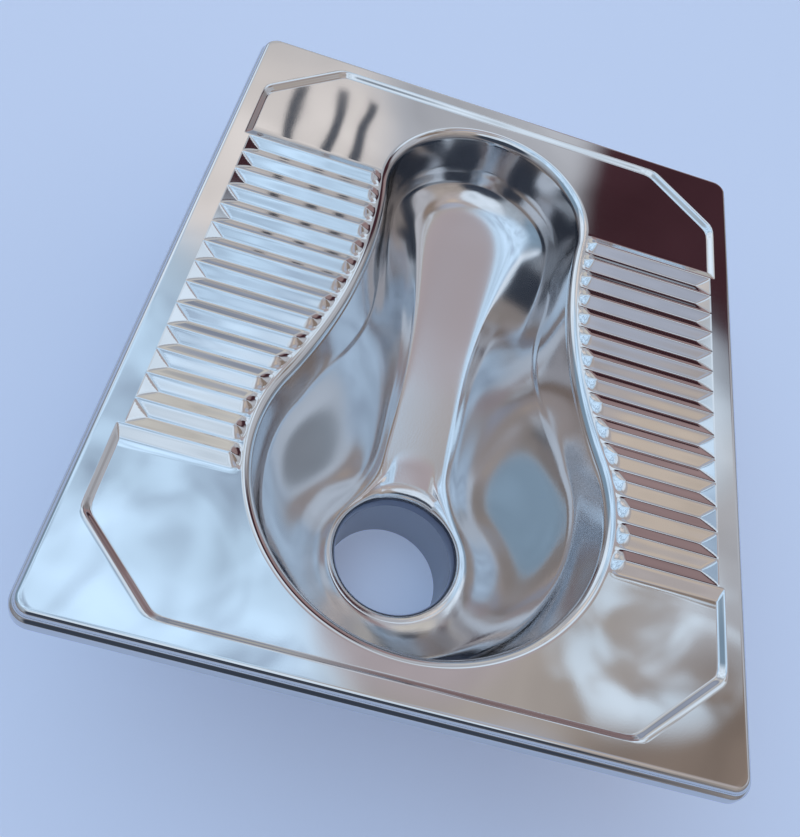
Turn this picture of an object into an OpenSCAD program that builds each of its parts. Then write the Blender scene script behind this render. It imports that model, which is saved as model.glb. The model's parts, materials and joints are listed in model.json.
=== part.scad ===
// Squat toilet pan in stainless steel: a pressed deck with two ribbed treads, a drawn bowl
// whose channel falls to the drain, an outlet collar, and a frame and stiffeners under the deck.
// Millimetres, +Z up. The pan seats on the floor at z = 0, +Y points to its narrow end, and
// the origin is the centre of the four fixing holes. Depths are measured down from the deck's top.

/* [Deck] */
// Width of the deck at its rounded edge, across the two treads
deck_w = 430; // [424:1:520]
// Length of the deck at its rounded edge, from the drain end to the narrow end
deck_l = 528; // [524:1:640]
// Height of the deck's top above the floor seat
deck_h = 15; // [14:0.5:30]
// Thickness of the pressed deck sheet
deck_sheet = 1.2; // [0.8:0.1:1.6]
// Corner radius of the deck, seen from above
corner_r = 12; // [8:1:16]
// Radius of the rounded edge all round the deck
edge_r = 4; // [3:0.5:5]
// How far the skirt flares out below the rounded edge
flare_w = 3.8; // [2:0.2:5]
// Height of the skirt's lower hem above the floor seat
hem_gap = 2; // [1:0.5:4]

/* [Sunk panel] */
// Width of the raised border along the two long sides
border_side = 14.5; // [12:0.5:20]
// Width of the raised border along the two short ends
border_end = 14; // [11:0.5:16]
// Length of each corner chamfer of the panel, across the deck
chamfer_x = 58; // [40:1:80]
// Length of each corner chamfer of the panel, along the deck
chamfer_y = 52; // [35:1:80]
// Width of the sloped step between border and panel
step_w = 4; // [3:0.5:5]
// How far the panel lies below the border
panel_drop = 3.5; // [1.5:0.25:4]

/* [Treads] */
// Number of ribs on each tread
rib_count = 15; // [11:1:16]
// Distance from one rib to the next
rib_pitch = 19.75; // [16:0.25:20.5]
// Length of the sloped rib end beside the bowl
hip_l = 6.5; // [5:0.5:14]
// Length of the ramps between the ribs' outer ends
ramp_l = 11; // [7:0.5:15]

/* [Bowl rim] */
// Radius of the rim's narrow end
far_r = 89; // [80:1:92]
// Distance of the narrow end's centre from the deck's centre
far_y = 148; // [140:1:150]
// Radius of the rim's wide end
near_r = 126; // [115:1:128]
// Distance of the wide end's centre from the deck's centre
near_y = 112; // [105:1:114]
// Radius of the hollow sweep that joins the two ends
waist_r = 397; // [330:1:480]
// Radius with which the deck rolls down into the bowl
roll_r = 7.5; // [5:0.5:9]
// Length of the straight flange below that roll
flange_l = 2; // [1:0.5:4]

/* [Bowl] */
// Thickness of the drawn bowl sheet
bowl_sheet = 1.2; // [0.8:0.1:1.6]
// Slope of the bowl's outer wall from the vertical, in degrees
wall_draft = 10; // [6:0.5:12]
// Depth of the outer wall's foot from the narrow end down to the treads' middle
foot_far_d = 46; // [40:1:50]
// Depth of the outer wall's foot at the wide end
foot_near_d = 86; // [76:1:90]
// How much further in the foot lies beside the channel's neck
foot_swell = 12; // [4:1:14]
// Depth of the channel's crest at the narrow end
crest_far_d = 57; // [52:1:59]
// Depth of the crest at the drain end
crest_near_d = 98; // [92:1:100]
// Depth of the channel's floor at its narrow end
floor_far_d = 68; // [66:1:76]
// Depth of the channel's floor at the drain
floor_near_d = 113.5; // [110:0.5:125]
// Length that the round foot of the outer wall takes on each side
foot_round = 14; // [8:1:18]
// Length that the rounded crest takes on the shelf's side
shelf_round = 22; // [8:1:24]
// Length that the rounded crest takes on the channel's side
crest_round = 16; // [8:1:18]
// Length that the round foot of the channel's wall takes on each side
channel_round = 18; // [8:1:20]

/* [Channel] */
// Radius of the channel's round end
channel_far_r = 65; // [60:1:66]
// Distance of that end's centre from the deck's centre
channel_far_y = 153; // [149:1:154]
// Width of the channel's neck between its crests
neck_w = 76; // [70:1:80]
// How far in the foot of the channel's wall lies from the crest at the neck
neck_slope = 9; // [6:0.5:10]
// How far in that foot lies from the crest along the wide part of the channel
side_slope = 27; // [20:0.5:28]
// How far in that foot lies from the crest at the tip of the round end
tip_slope = 22; // [15:0.5:23]
// Radius of the hollow bend between the neck and the crest round the drain
bend_r = 60; // [50:1:66]

/* [Drain] */
// Inner radius of the drain hole and of the outlet collar
drain_r = 46; // [40:0.5:50]
// Distance of the drain's axis from the deck's centre, towards the wide end
drain_y = 123; // [116:1:128]
// Radius of the crest that runs round the drain
ring_r = 69; // [66:0.5:72]
// Distance of that crest's centre from the deck's centre
ring_y = 133; // [131:0.5:135]
// Where the hollow of the funnel round the drain lies on the way from the crest to the hole
funnel_share = 0.6; // [0.5:0.05:0.65]
// Share of the funnel's drop from the crest down to that hollow
funnel_fall = 0.84; // [0.6:0.02:0.88]
// Length that the rounded edge of the drain hole takes on the channel's side
drain_round = 13; // [8:1:16]
// Height of the drain hole's lip
drain_lip = 15.5; // [12:0.5:20]
// Length of the outlet collar
outlet_l = 48; // [30:1:80]
// Wall thickness of the outlet collar
outlet_wall = 1.5; // [1:0.1:3]

/* [Underframe] */
// Thickness of the frame's bent strip
frame_sheet = 1.5; // [1:0.1:2.5]
// Width of the frame's foot flange
frame_flange = 16; // [12:1:20]
// Width of each stiffening channel under the treads
stiffener_w = 24; // [16:1:30]
// Sheet thickness of the stiffening channels
stiffener_sheet = 1.5; // [1:0.1:2.5]
// Where each stiffening channel stands in the free width from the rim, 0, to the lugs, 1
stiffener_share = 0.6; // [0.2:0.05:0.8]
// Thickness of the damping pads under the treads
pad_t = 3; // [2:0.5:5]

/* [Fixing lugs] */
// Thickness of each lug
lug_t = 3; // [2:0.5:5]
// Length of each lug along the frame
lug_l = 32; // [24:1:40]
// How far each lug reaches in from the frame
lug_reach = 23; // [20:1:24]
// Radius of the hole in each lug
lug_hole_r = 4.5; // [3:0.25:5.5]
// Distance from the deck's centre to each pair of lugs
lug_y = 200; // [160:1:225]

/* [Hidden] */

mirror_steel = "gainsboro";
satin_steel = "silver";
dull_steel = "darkgray";
bitumen = "dimgray";

// Counts of stations round each end: along the end, round the corner, along the side
end_steps = 5;
corner_steps = 6;
side_steps = 2;
arc_steps = end_steps + corner_steps + side_steps;
roll_steps = 4;
edge_steps = 3;
round_steps = 4;
floor_steps = 5;

// Heights of the deck's main levels
panel_z = deck_h - panel_drop;
panel_under_z = panel_z - deck_sheet;

half_w = deck_w / 2;
half_l = deck_l / 2;
tread_end = rib_count * rib_pitch / 2;

function lerp(a, b, t) = a + (b - a) * t;
function clamp01(t) = min(1, max(0, t));
function ease(t) = let (c = clamp01(t)) c * c * (3 - 2 * c);
function unit(v) = v / norm(v);
function at_z(p, z) = [p[0], p[1], z];
function flat(p) = [p[0], p[1]];
function flip_x(p) = [-p[0], p[1], p[2]];
function heading(a) = [cos(a), sin(a)];

// ---- Rim outline: two arcs and a hollow sweep between them, offset inwards by o ----

far_reach = far_r + waist_r;
near_reach = near_r + waist_r;
centre_gap = far_y + near_y;
waist_drop = (far_reach * far_reach - near_reach * near_reach + centre_gap * centre_gap) / (2 * centre_gap);
waist_c = [sqrt(far_reach * far_reach - waist_drop * waist_drop), far_y - waist_drop];
far_join_y = far_y - far_r * waist_drop / far_reach;
near_join_y = -near_y + near_r * (waist_c[1] + near_y) / near_reach;

function rim_half(y) =
    y > far_join_y ? sqrt(max(0, far_r * far_r - (y - far_y) * (y - far_y)))
    : y > near_join_y ? waist_c[0] - sqrt(waist_r * waist_r - (y - waist_c[1]) * (y - waist_c[1]))
    : sqrt(max(0, near_r * near_r - (y + near_y) * (y + near_y)));
function rim_inward(y) = let (p = [rim_half(y), y])
    y > far_join_y ? unit([0, far_y] - p)
    : y > near_join_y ? unit(p - waist_c)
    : unit([0, -near_y] - p);

far_angle = asin((tread_end - far_y) / far_r);
near_angle = asin((near_y - tread_end) / near_r);
// Stations down one side: the narrow end's arc, the hollows between ribs, the wide end's arc
station_y = concat(
    [for (i = [0:arc_steps]) far_y + far_r * sin(lerp(90, far_angle, i / arc_steps))],
    [for (i = [1:rib_count - 1]) tread_end - i * rib_pitch],
    [for (i = [0:arc_steps]) -near_y + near_r * sin(lerp(near_angle, -90, i / arc_steps))]);
last = len(station_y) - 1;
far_last = arc_steps;
near_first = arc_steps + rib_count;

function rim_at(i, o, z) = let (y = station_y[i])
    at_z([rim_half(y), y] + rim_inward(y) * o, z);

// ---- Roll of the deck into the bowl, down to the seam ----

roll_angle = 90 - wall_draft;
seam_o = roll_r * sin(roll_angle) + flange_l * sin(wall_draft);
seam_z = panel_z - roll_r * (1 - cos(roll_angle)) - flange_l * cos(wall_draft);

function roll_point(i, angle, r) = rim_at(i, r * sin(angle), panel_z - roll_r + r * cos(angle));
function seam_point(i, inset) = rim_at(i, seam_o - inset * cos(wall_draft), seam_z - inset * sin(wall_draft));
function roll_column(i, sheet) = concat([seam_point(i, sheet)],
    [for (k = [roll_steps:-1:0]) roll_point(i, roll_angle * k / roll_steps, roll_r - sheet)]);

// ---- Octagon of the sunk panel and rounded rectangle of the deck, by station ----

oct_w = half_w - border_side;
oct_l = half_l - border_end;
chamfer_n = unit([chamfer_y, chamfer_x]);

function oct_side_y(w) = oct_l - chamfer_y - w * (1 - chamfer_n[0]) / chamfer_n[1];
function oct_end_x(w) = oct_w - chamfer_x - w * (1 - chamfer_n[1]) / chamfer_n[0];
function end_octagon(i, w) =
    i <= end_steps ? [lerp(0, oct_end_x(w), i / end_steps), oct_l - w]
    : i <= end_steps + corner_steps
    ? lerp([oct_end_x(w), oct_l - w], [oct_w - w, oct_side_y(w)], (i - end_steps) / corner_steps)
    : [oct_w - w, lerp(oct_side_y(w), tread_end, (i - end_steps - corner_steps) / side_steps)];
// Smallest corner radius left where a loop lies far inside the deck's edge
inner_corner_r = 3;
function end_edge(i, o) =
    let (r = max(corner_r - o, inner_corner_r), c = [half_w - o - r, half_l - o - r])
    i <= end_steps ? [lerp(0, c[0], i / end_steps), half_l - o]
    : i <= end_steps + corner_steps
    ? c + r * heading(lerp(90, 0, (i - end_steps) / corner_steps))
    : [half_w - o, lerp(c[1], tread_end, (i - end_steps - corner_steps) / side_steps)];

// u is a station number, with halves for the ridges between two hollows
function row_y(u) = lerp(station_y[floor(u)], station_y[ceil(u)], u - floor(u));
function octagon_at(u, w) =
    u < far_last ? end_octagon(u, w)
    : u > near_first ? let (p = end_octagon(last - u, w)) [p[0], -p[1]]
    : [oct_w - w, row_y(u)];
function edge_at(u, o) =
    u < far_last ? end_edge(u, o)
    : u > near_first ? let (p = end_edge(last - u, o)) [p[0], -p[1]]
    : [half_w - o, row_y(u)];

// ---- Deck rows: one closed profile of the sheet at each station ----

function is_ridge(u) = u != floor(u);
function on_tread(u) = u > far_last && u < near_first;
function half_sum(a, b) = (a + b) / 2;
function roll_row(u, sheet) = half_sum(roll_column(floor(u), sheet), roll_column(ceil(u), sheet));

// Edge section as [inset, height, angle of its normal from the vertical]: the rounded edge,
// a shoulder that leans out below it, and the skirt down to its hem
edge_root_z = deck_h - edge_r;
edge_profile = concat(
    [for (k = [0:edge_steps]) let (a = 90 * k / edge_steps)
        [edge_r - edge_r * sin(a), edge_root_z + edge_r * cos(a), a]],
    [[-0.1 * flare_w, edge_root_z - 1, 60],
        [-0.62 * flare_w, edge_root_z - 2.4, 50],
        [-0.78 * flare_w, edge_root_z - 3.4, 70],
        [-flare_w, hem_gap, 84]]);

function edge_column(u, sheet) = [for (p = edge_profile)
    at_z(edge_at(u, p[0] + sheet * sin(p[2])), max(hem_gap, p[1] - sheet * cos(p[2])))];

function panel_column(u, sheet) =
    let (rim = flat(half_sum(rim_at(floor(u), 0, 0), rim_at(ceil(u), 0, 0))),
        inner = octagon_at(u, step_w), outer = octagon_at(u, 0),
        gap = norm(inner - rim), top = is_ridge(u) ? deck_h : panel_z)
    [at_z(lerp(rim, inner, min(hip_l / gap, 1 / 3)), top - sheet),
        at_z(lerp(inner, rim, min((ramp_l - step_w / 2) / gap, 1 / 3)), top - sheet),
        at_z(inner, (on_tread(u) ? deck_h : panel_z) - sheet),
        at_z(outer, deck_h - sheet)];

function deck_skin(u, sheet) = concat(roll_row(u, sheet), panel_column(u, sheet), edge_column(u, sheet));
function deck_profile(u) = concat(deck_skin(u, 0), reverse(deck_skin(u, deck_sheet)));
function reverse(list) = [for (k = [len(list) - 1:-1:0]) list[k]];

deck_u = concat([for (i = [0:far_last]) i],
    [for (i = [0:rib_count - 1], part = [0.5, 1]) far_last + i + part],
    [for (i = [near_first + 1:last]) i]);

// The right half's rows, then the left half's back to the narrow end
function full_loop(half) = concat(half, [for (i = [len(half) - 2:-1:1]) [for (p = half[i]) flip_x(p)]]);

// Closed band of closed profiles; split(row, k) says which way a four-sided face is cut
module band(half, splits) {
    rows = full_loop(half);
    flags = concat(splits, [for (i = [len(splits) - 1:-1:0]) !splits[i]]);
    n = len(rows);
    m = len(rows[0]);
    faces = [for (i = [0:n - 1], k = [0:m - 1])
        let (a = i * m + k, d = i * m + (k + 1) % m,
            b = (i + 1) % n * m + k, c = (i + 1) % n * m + (k + 1) % m,
            back = k < m / 2 ? flags[i] : !flags[i])
        each back ? [[a, b, d], [b, c, d]] : [[a, b, c], [a, c, d]]];
    polyhedron(points = [for (row = rows) each row], faces = [for (f = faces) reverse(f)], convexity = 10);
}

// ---- Crest inside the bowl, by station: round end, side, hollow bend, ring round the drain ----

bend_stations = 2;
neck_last = near_first - 2 - bend_stations;
ring_first = neck_last + bend_stations;
neck_half = neck_w / 2;
bend_rise = sqrt((ring_r + bend_r) * (ring_r + bend_r) - (neck_half + bend_r) * (neck_half + bend_r));
bend_c = [neck_half + bend_r, bend_rise - ring_y];
bend_angle = atan2(bend_rise, neck_half + bend_r);

function crest_half(y) = lerp(neck_half, channel_far_r, ease(y / channel_far_y));
function ring_bearing(i) = lerp(bend_angle, -90, (i - ring_first) / (last - ring_first));
function crest_at(i) =
    i <= far_last ? [0, channel_far_y] + channel_far_r * heading(lerp(90, 0, i / far_last))
    : i <= neck_last ? let (y = lerp(channel_far_y, bend_c[1], (i - far_last) / (neck_last - far_last)))
        [crest_half(y), y]
    : i <= ring_first ? bend_c + bend_r * heading(180 + bend_angle * (i - neck_last) / bend_stations)
    : [0, -ring_y] + ring_r * heading(ring_bearing(i));

// ---- Depths along the bowl ----

bowl_near_y = -near_y - near_r;
foot_bend_y = -20;
foot_power = 1.5;
function foot_z(y) = deck_h - lerp(foot_far_d, foot_near_d,
    pow(max(0, (foot_bend_y - y) / (foot_bend_y - bowl_near_y)), foot_power));
crest_top_y = 150;
crest_run = 210;
function crest_z(y) = deck_h - lerp(crest_far_d, crest_near_d, ease((crest_top_y - y) / crest_run));
floor_start_y = -60;
floor_run = 260;
function floor_z(y) = deck_h
    - lerp(floor_near_d, floor_far_d, clamp01((y - floor_start_y) / floor_run));
drain_z = deck_h - floor_near_d;
lip_z = drain_z - drain_lip;

// ---- Corners of the bowl's section at each station ----

swell_y = 25;
swell_l = 78;
function swell(y) = abs(y - swell_y) < swell_l ? foot_swell * pow(cos(90 * (y - swell_y) / swell_l), 2) : 0;
function foot_corner(i) = let (y = station_y[i], z = foot_z(y))
    rim_at(i, seam_o + (seam_z - z) * tan(wall_draft) + swell(y), z);
function crest_corner(i) = let (p = crest_at(i)) at_z(p, crest_z(p[1]));
function crest_inward(i) =
    i == 0 ? [0, -1]
    : i == last ? [0, 1]
    : let (d = unit(crest_at(i + 1) - crest_at(i - 1))) [d[1], -d[0]];
// 0 along the channel, 1 round the drain
blend_lead = 3;
blend_stations = 8;
function drain_share(i) = ease((i - neck_last + blend_lead) / blend_stations);
slope_start_y = -10;
slope_run = 115;
function slope_w(y) = lerp(neck_slope, side_slope, ease((y - slope_start_y) / slope_run))
    - (side_slope - tip_slope) * ease((y - channel_far_y) / channel_far_r);
function channel_foot(i) =
    let (p = crest_at(i), q = p + crest_inward(i) * slope_w(p[1]))
    at_z(q, floor_z(q[1]));
function funnel_foot(i) =
    let (crest = crest_corner(i), hole = drain_corner(i))
    at_z(lerp(crest, hole, funnel_share), lerp(crest[2], hole[2], funnel_fall));
function foot_of_channel(i) = lerp(channel_foot(i), funnel_foot(i), drain_share(i));
// Bearing from the drain's axis at which each station's line ends
neck_bearing = 62;
function bearing(i) =
    i <= neck_last ? lerp(90, neck_bearing, i / neck_last)
    : i <= ring_first ? lerp(neck_bearing, bend_angle, (i - neck_last) / bend_stations)
    : ring_bearing(i);
function drain_point(i, r, z) = at_z([0, -drain_y] + r * heading(bearing(i)), z);
function drain_corner(i) = drain_point(i, drain_r, drain_z);

// Quadratic curve that rounds corner b between a and c, taking at most len_a and len_c of its sides
corner_share = 0.46;
hole_share = 0.66;
function rounded(a, b, c, len_a, len_c, most = corner_share) =
    let (la = min(len_a, norm(a - b) * most), lc = min(len_c, norm(c - b) * most),
        p = b + unit(a - b) * la, q = b + unit(c - b) * lc)
    [for (k = [0:round_steps]) let (t = k / round_steps) lerp(lerp(p, b, t), lerp(b, q, t), t)];

// Half width of the channel's floor at y, read from the foot line
function floor_half(y) = max(1, crest_half(y) - slope_w(y));
function floor_line(i, start, end) =
    [for (k = [1:floor_steps]) let (v = k / (floor_steps + 1),
            y = lerp(start[1], end[1], v),
            follow = floor_half(min(y, channel_far_y)),
            lean = lerp(start[0] / floor_half(min(start[1], channel_far_y)), end[0] / floor_half(end[1]), v),
            straight = lerp(start, end, v),
            share = drain_share(i))
        [lerp(follow * lean, straight[0], share), y, lerp(floor_z(y), straight[2], share)]];

function bowl_skin(i) =
    let (seam = seam_point(i, 0), foot = foot_corner(i), crest = crest_corner(i),
        base = foot_of_channel(i), hole = drain_corner(i), lip = drain_point(i, drain_r, lip_z),
        ahead = i <= neck_last ? [hole[0], hole[1], base[2]] : hole,
        to_floor = rounded(crest, base, half_sum(base, ahead), channel_round, channel_round),
        before_hole = lerp(hole, base, lerp(0.5, 1, drain_share(i))),
        to_hole = rounded(before_hole, hole, lip, drain_round, drain_round, hole_share))
    concat([seam], rounded(seam, foot, crest, foot_round, foot_round),
        rounded(foot, crest, base, shelf_round, crest_round),
        to_floor, floor_line(i, to_floor[round_steps], to_hole[0]), to_hole, [lip]);

bowl_rows = [for (i = [0:last]) bowl_skin(i)];
bowl_count = len(bowl_rows[0]);

// The sheet's dry side, one thickness out from the wet side
function row_before(i) = i == 0 ? [for (p = bowl_rows[1]) flip_x(p)] : bowl_rows[i - 1];
function row_after(i) = i == last ? [for (p = bowl_rows[last - 1]) flip_x(p)] : bowl_rows[i + 1];
function dry_point(i, k) =
    let (across = row_after(i)[k] - row_before(i)[k], down = bowl_rows[i][k + 1] - bowl_rows[i][k - 1])
    bowl_rows[i][k] + unit(cross(across, down)) * bowl_sheet;
function dry_row(i) = concat([seam_point(i, bowl_sheet)],
    [for (k = [1:bowl_count - 2]) dry_point(i, k)],
    [drain_point(i, drain_r + bowl_sheet, lip_z)]);
function bowl_profile(i) = concat(bowl_rows[i], reverse(dry_row(i)));

module deck() {
    color(mirror_steel)
        band([for (u = deck_u) deck_profile(u)],
            [for (k = [0:len(deck_u) - 2]) is_ridge(deck_u[k])]);
}

module bowl() {
    color(satin_steel)
        band([for (i = [0:last]) reverse(bowl_profile(i))], [for (i = [0:last - 1]) false]);
}

module outlet_collar() {
    color(dull_steel)
        translate([0, -drain_y, lip_z - outlet_l])
        difference() {
            cylinder(h = outlet_l, r = drain_r + outlet_wall, $fn = 96);
            translate([0, 0, -1]) cylinder(h = outlet_l + 2, r = drain_r, $fn = 96);
        }
}

// ---- Underframe ----

frame_o = deck_sheet;
function edge_loop(o) = let (half = [for (i = [0:last]) edge_at(i, o)])
    concat(half, [for (i = [last - 1:-1:1]) [-half[i][0], half[i][1]]]);

module frame_band(o_out, o_in, h) {
    linear_extrude(height = h)
        difference() {
            polygon(edge_loop(o_out));
            polygon(edge_loop(o_in));
        }
}

module hem_frame() {
    color(dull_steel)
        union() {
            frame_band(frame_o, frame_o + frame_sheet, edge_root_z);
            frame_band(frame_o, frame_o + frame_flange, frame_sheet);
        }
}

lug_root_x = half_w - frame_o - frame_flange;
stiffener_free = lug_root_x - lug_reach - near_r - stiffener_w;
stiffener_x = near_r + stiffener_free * stiffener_share + stiffener_w / 2;

// Inverted channel under a tread, from end to end of the frame's foot flange
module tread_stiffener(side) {
    run = 2 * (half_l - frame_o - frame_sheet);
    rise = panel_under_z - frame_sheet;
    color(dull_steel)
        translate([side * stiffener_x - stiffener_w / 2, -run / 2, frame_sheet])
        difference() {
            cube([stiffener_w, run, rise]);
            translate([stiffener_sheet, -1, -1])
                cube([stiffener_w - 2 * stiffener_sheet, run + 2, rise + 1 - stiffener_sheet]);
        }
}

pad_rim_gap = 6;
pad_side_gap = 4;
pad_overrun = 9;

// Damping pad between the bowl and the stiffener, stuck up against the panel
module tread_pad(side) {
    reach = tread_end + pad_overrun;
    steps = 14;
    outer_x = stiffener_x - stiffener_w / 2 - pad_side_gap;
    ys = [for (k = [0:steps]) lerp(reach, -reach, k / steps)];
    inner = [for (y = ys) if (rim_half(y) + pad_rim_gap < outer_x) [side * (rim_half(y) + pad_rim_gap), y]];
    color(bitumen)
        translate([0, 0, panel_under_z - pad_t])
        linear_extrude(height = pad_t)
        polygon(concat(inner, [[side * outer_x, -reach], [side * outer_x, reach]]));
}

module fixing_lug(side, end) {
    color(dull_steel)
        translate([side * (lug_root_x - lug_reach / 2), end * lug_y, 0])
        difference() {
            translate([-lug_reach / 2, -lug_l / 2, 0]) cube([lug_reach, lug_l, lug_t]);
            translate([0, 0, -1]) cylinder(h = lug_t + 2, r = lug_hole_r, $fn = 48);
        }
}

deck();
bowl();
outlet_collar();
hem_frame();
tread_stiffener(-1);  // tread_stiffener_left
tread_stiffener(1);  // tread_stiffener_right
tread_pad(-1);  // tread_pad_left
tread_pad(1);  // tread_pad_right
fixing_lug(-1, 1);  // fixing_lug_narrow_left
fixing_lug(1, 1);  // fixing_lug_narrow_right
fixing_lug(-1, -1);  // fixing_lug_wide_left
fixing_lug(1, -1);  // fixing_lug_wide_right
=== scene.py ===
import json
import math

import bpy
import numpy as np
from mathutils import Matrix, Vector


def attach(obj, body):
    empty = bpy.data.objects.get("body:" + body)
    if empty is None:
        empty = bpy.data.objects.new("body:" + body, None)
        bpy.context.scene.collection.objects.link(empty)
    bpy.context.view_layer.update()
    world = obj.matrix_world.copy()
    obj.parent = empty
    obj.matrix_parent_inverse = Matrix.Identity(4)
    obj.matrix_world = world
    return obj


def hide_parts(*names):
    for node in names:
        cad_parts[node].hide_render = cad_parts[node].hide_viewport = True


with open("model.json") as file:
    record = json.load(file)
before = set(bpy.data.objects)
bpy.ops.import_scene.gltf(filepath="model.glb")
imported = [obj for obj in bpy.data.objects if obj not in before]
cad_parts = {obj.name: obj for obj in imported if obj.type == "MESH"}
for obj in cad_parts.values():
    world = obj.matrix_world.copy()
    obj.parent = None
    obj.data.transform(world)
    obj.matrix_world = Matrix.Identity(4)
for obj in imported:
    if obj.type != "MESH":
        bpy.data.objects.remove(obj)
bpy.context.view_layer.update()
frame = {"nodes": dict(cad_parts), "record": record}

MM = 0.001

# ---------------------------------------------------------------- sizes, in millimetres
DECK_W, DECK_L, DECK_TOP = 430.0, 528.0, 15.0
SHEET = 1.2
CORNER_R, EDGE_R, FLARE_W, HEM_GAP = 12.0, 4.0, 3.8, 2.0
BORDER_SIDE, BORDER_END = 14.5, 14.0
CHAMFER_X, CHAMFER_Y, STEP_W, PANEL_DROP = 58.0, 52.0, 4.0, 3.5
RIB_COUNT, RIB_PITCH, HIP_L, RAMP_L = 15, 19.75, 6.5, 11.0
FAR_R, FAR_Y, NEAR_R, NEAR_Y, WAIST_R = 89.0, 148.0, 126.0, 112.0, 397.0
ROLL_R, FLANGE_L, WALL_DRAFT = 7.5, 2.0, 10.0
FOOT_FAR_D, FOOT_NEAR_D, FOOT_BEND_Y, FOOT_POWER = 46.0, 86.0, -20.0, 1.5
SWELL, SWELL_Y, SWELL_L = 12.0, 25.0, 78.0
CREST_FAR_D, CREST_NEAR_D, CREST_TOP_Y, CREST_RUN = 57.0, 98.0, 150.0, 210.0
FLOOR_FAR_D, FLOOR_NEAR_D, FLOOR_START, FLOOR_RUN = 68.0, 113.5, -60.0, 260.0
CHANNEL_R, CHANNEL_Y, NECK_HALF = 65.0, 153.0, 38.0
RING_R, RING_Y, RING_FILLET = 69.0, 133.0, 60.0
DRAIN_R, DRAIN_Y, DRAIN_LIP = 46.0, 123.0, 15.5
FOOT_ROUND, SHELF_ROUND, CREST_ROUND, CHANNEL_ROUND, DRAIN_ROUND = 14.0, 22.0, 16.0, 18.0, 13.0

PANEL_Z = DECK_TOP - PANEL_DROP
HALF_W, HALF_L = DECK_W / 2, DECK_L / 2
TREAD_END = RIB_COUNT * RIB_PITCH / 2

# stations along the half loop, counted from the narrow end
TURN_FROM, TURN_TO, FAR_LAST, NEAR_FIRST, LAST = 5, 11, 13, 28, 41
NECK_AT, RING_AT = 24.0, 26.0


def ease(t):
    t = np.clip(t, 0.0, 1.0)
    return t * t * (3 - 2 * t)


def lerp(a, b, t):
    return a + (b - a) * t


def unit(v):
    return v / np.linalg.norm(v, axis=-1, keepdims=True)


# ---------------------------------------------------------------- rim of the bowl
def waist_centre():
    far, near, gap = FAR_R + WAIST_R, NEAR_R + WAIST_R, FAR_Y + NEAR_Y
    drop = (far * far - near * near + gap * gap) / (2 * gap)
    return np.array([math.sqrt(far * far - drop * drop), FAR_Y - drop]), drop / far


WAIST_C, WAIST_SIN = waist_centre()
FAR_JOIN = FAR_Y - FAR_R * WAIST_SIN
NEAR_JOIN = -NEAR_Y + NEAR_R * (WAIST_C[1] + NEAR_Y) / (NEAR_R + WAIST_R)


def station_y(u):
    """Y of the rim at station u: the narrow end, the ribs' hollows, the wide end."""
    far_a = math.asin((TREAD_END - FAR_Y) / FAR_R)
    near_a = math.asin((NEAR_Y - TREAD_END) / NEAR_R)
    far = FAR_Y + FAR_R * np.sin(lerp(math.pi / 2, far_a, np.clip(u / FAR_LAST, 0, 1)))
    side = TREAD_END - (u - FAR_LAST) * RIB_PITCH
    near_t = np.clip((u - NEAR_FIRST) / (LAST - NEAR_FIRST), 0, 1)
    near = -NEAR_Y + NEAR_R * np.sin(lerp(near_a, -math.pi / 2, near_t))
    return np.where(u <= FAR_LAST, far, np.where(u < NEAR_FIRST, side, near))


def rim_half(y):
    far = np.sqrt(np.maximum(0, FAR_R**2 - (y - FAR_Y) ** 2))
    waist = WAIST_C[0] - np.sqrt(np.maximum(0, WAIST_R**2 - (y - WAIST_C[1]) ** 2))
    near = np.sqrt(np.maximum(0, NEAR_R**2 - (y + NEAR_Y) ** 2))
    return np.where(y > FAR_JOIN, far, np.where(y > NEAR_JOIN, waist, near))


def rim_inward(y):
    p = np.stack([rim_half(y), y], -1)
    far = np.array([0, FAR_Y]) - p
    near = np.array([0, -NEAR_Y]) - p
    below = np.where((y > NEAR_JOIN)[:, None], p - WAIST_C, near)
    return unit(np.where((y > FAR_JOIN)[:, None], far, below))


def rim_at(u, inset, z):
    y = station_y(u)
    xy = np.stack([rim_half(y), y], -1) + rim_inward(y) * np.reshape(inset, (-1, 1))
    return np.concatenate([xy, np.broadcast_to(np.reshape(z, (-1, 1)), (len(y), 1))], 1)


ROLL_ANGLE = math.radians(90 - WALL_DRAFT)
DRAFT = math.radians(WALL_DRAFT)
SEAM_O = ROLL_R * math.sin(ROLL_ANGLE) + FLANGE_L * math.sin(DRAFT)
SEAM_Z = PANEL_Z - ROLL_R * (1 - math.cos(ROLL_ANGLE)) - FLANGE_L * math.cos(DRAFT)


def seam_at(u, depth):
    return rim_at(u, SEAM_O - depth * math.cos(DRAFT), SEAM_Z - depth * math.sin(DRAFT))


def roll_at(u, angle, radius):
    return rim_at(u, radius * math.sin(angle), PANEL_Z - ROLL_R + radius * math.cos(angle))


# ---------------------------------------------------------------- meshes
SHARP_FROM = math.radians(50)


def full_loop(half):
    """Stations of the right half, then the left half back to the narrow end."""
    left = half[-2:0:-1].copy()
    left[..., 0] *= -1
    return np.concatenate([half, left])


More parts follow.
